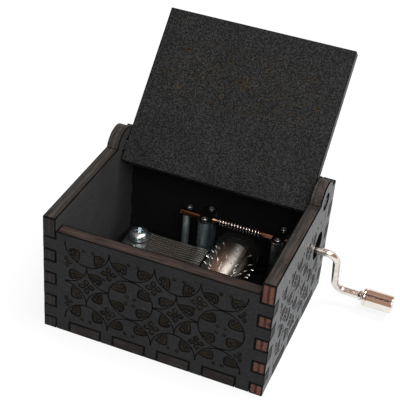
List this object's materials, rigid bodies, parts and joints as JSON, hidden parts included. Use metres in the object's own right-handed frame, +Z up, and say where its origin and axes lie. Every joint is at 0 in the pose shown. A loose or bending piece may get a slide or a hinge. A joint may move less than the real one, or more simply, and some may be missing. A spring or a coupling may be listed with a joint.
{
  "type": "hand-cranked music box",
  "caption": "Small plywood box with finger joints and an open lid, showing a pinned cylinder, a steel comb and a wire worm turned by a bent side crank.",
  "frame": {"origin": "middle of the base panel's underside, where the box rests", "axes": "+X to the right along the front, +Y to the back, +Z up"},
  "size_m": [0.0878, 0.0739, 0.0675],
  "materials": {
    "ply_black": "black stained plywood, matte",
    "plate_steel": "satin",
    "comb_steel": "ground steel",
    "stand_steel": "dark bluish steel, polished",
    "screw_zinc": "bright zinc plating",
    "black_plastic": "glossy",
    "nickel": "polished nickel plating"
  },
  "bodies": {
    "box": {"front_panel": "ply_black", "back_panel": "ply_black", "left_panel": "ply_black", "right_panel": "ply_black", "base_panel": "ply_black", "bedplate": "plate_steel", "base_screw_1": "screw_zinc", "base_screw_2": "screw_zinc", "base_screw_3": "screw_zinc", "comb_rest": "plate_steel", "comb": "comb_steel", "comb_screw_rear": "screw_zinc", "comb_screw_front": "screw_zinc", "left_stand": "stand_steel", "right_stand": "stand_steel", "left_keeper": "black_plastic", "right_keeper": "black_plastic", "left_keeper_screw_front": "screw_zinc", "left_keeper_screw_rear": "screw_zinc", "right_keeper_screw_front": "screw_zinc", "right_keeper_screw_rear": "screw_zinc", "end_pin": "stand_steel"},
    "lid": {"lid": "ply_black"},
    "crank": {"crank_rod": "nickel", "worm_wire": "nickel"},
    "knob": {"crank_knob": "nickel"},
    "cylinder": {"pin_cylinder": "nickel", "cylinder_plug": "black_plastic", "worm_wheel": "black_plastic", "cylinder_arbor": "plate_steel"}
  },
  "joints": [
    {"name": "lid_hinge", "type": "hinge", "parent": "box", "child": "lid", "pos_m": [0, 0.0172, 0.03525], "axis": [1, 0, 0], "range_deg": [0, 133.4]},
    {"name": "crank_spin", "type": "hinge", "parent": "box", "child": "crank", "pos_m": [0, 0.015, 0.02005], "axis": [1, 0, 0], "continuous": true},
    {"name": "knob_spin", "type": "hinge", "parent": "crank", "child": "knob", "pos_m": [0.0505, 0.01958, 0.00524], "axis": [1, 0, 0], "continuous": true},
    {"name": "cylinder_spin", "type": "hinge", "parent": "box", "child": "cylinder", "pos_m": [0.0093, 0, 0.012], "axis": [0, 1, 0], "continuous": true}
  ],
  "couplings": [
    {"joint": "cylinder_spin", "follows": "crank_spin", "ratio": -0.022222}
  ]
}
